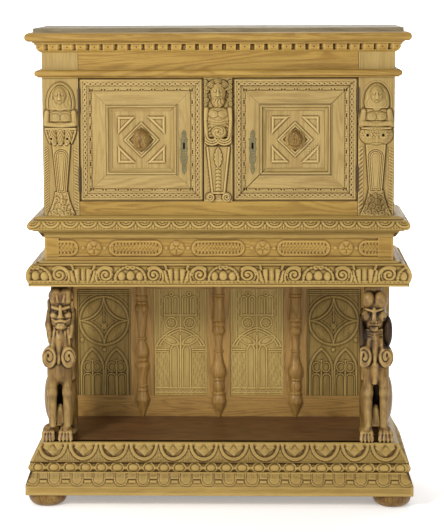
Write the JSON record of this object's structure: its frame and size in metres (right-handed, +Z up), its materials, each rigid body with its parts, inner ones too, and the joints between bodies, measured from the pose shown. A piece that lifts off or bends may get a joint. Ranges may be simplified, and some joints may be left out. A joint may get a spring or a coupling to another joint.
{
  "type": "court cupboard",
  "caption": "Carved oak court cupboard: two-door cupboard with term figures on a moulded waist, carried by winged lions and a panelled back over an open stage and plinth.",
  "frame": {"origin": "middle of the footprint on the floor", "axes": "+X to the right, +Y to the back, +Z up, seen from the doors' side"},
  "size_m": [1.402, 0.52, 1.727],
  "materials": {
    "bleached_oak": "bleached and waxed",
    "warm_oak": "waxed, rubbed on the high places",
    "brown_oak": "waxed",
    "olive_oak": "bleached, dirt left in the hollows",
    "dark_oak_board": "worn satin",
    "grey_oak_board": "dull",
    "plain_oak": "plain planed",
    "dark_iron": "forged, dull"
  },
  "bodies": {
    "case": {"astragal": "bleached_oak", "back_boards": "plain_oak", "back_bottom_rail": "brown_oak", "back_stiles": "brown_oak", "back_top_rail": "brown_oak", "baluster_centre": "brown_oak", "baluster_left": "brown_oak", "baluster_right": "brown_oak", "bun_feet": "bleached_oak", "case_hinge_leaves": "dark_iron", "centre_stile": "bleached_oak", "corner_blocks": "plain_oak", "cornice": "bleached_oak", "cupboard_bottom_rail": "bleached_oak", "cupboard_ceiling": "plain_oak", "cupboard_floor": "plain_oak", "cushion_front": "bleached_oak", "cushion_sides": "bleached_oak", "dentil_course": "bleached_oak", "frieze_front": "bleached_oak", "frieze_sides_and_back": "plain_oak", "hinge_pins": "dark_iron", "lancet_panel_left": "olive_oak", "lancet_panel_right": "olive_oak", "lion_left": "warm_oak", "lion_right": "warm_oak", "muntins": "brown_oak", "platform_board": "dark_oak_board", "plinth_back": "plain_oak", "plinth_front": "bleached_oak", "plinth_sides": "bleached_oak", "rose_panel_left": "olive_oak", "rose_panel_right": "olive_oak", "shelf": "plain_oak", "shelf_cleats": "plain_oak", "side_frame_left": "bleached_oak", "side_frame_right": "bleached_oak", "side_panels": "bleached_oak", "soffit_board": "plain_oak", "term_stile_left": "bleached_oak", "term_stile_right": "bleached_oak", "top_board": "grey_oak_board", "top_frieze_rail": "bleached_oak", "waist_moulding": "bleached_oak"},
    "left_door": {"left_door_frame": "bleached_oak", "left_door_moulding": "bleached_oak", "left_door_panel": "bleached_oak", "left_boss": "bleached_oak", "left_escutcheon": "dark_iron", "left_lock": "dark_iron", "left_door_hinge_leaves": "dark_iron"},
    "right_door": {"right_door_frame": "bleached_oak", "right_door_moulding": "bleached_oak", "right_door_panel": "bleached_oak", "right_boss": "bleached_oak", "right_escutcheon": "dark_iron", "right_lock": "dark_iron", "right_door_hinge_leaves": "dark_iron"},
    "left_bolt": {"left_lock_bolt": "dark_iron"},
    "right_bolt": {"right_lock_bolt": "dark_iron"}
  },
  "joints": [
    {"name": "left_door_swing", "type": "hinge", "parent": "case", "child": "left_door", "pos_m": [-0.494, -0.2007, 1.332], "axis": [0, 0, -1], "range_deg": [0, 100]},
    {"name": "right_door_swing", "type": "hinge", "parent": "case", "child": "right_door", "pos_m": [0.494, -0.2007, 1.332], "axis": [0, 0, 1], "range_deg": [0, 100]},
    {"name": "left_bolt_slide", "type": "slide", "parent": "left_door", "child": "left_bolt", "axis": [1, 0, 0], "range_m": [0, 0.01]},
    {"name": "right_bolt_slide", "type": "slide", "parent": "right_door", "child": "right_bolt", "axis": [-1, 0, 0], "range_m": [0, 0.01]}
  ]
}
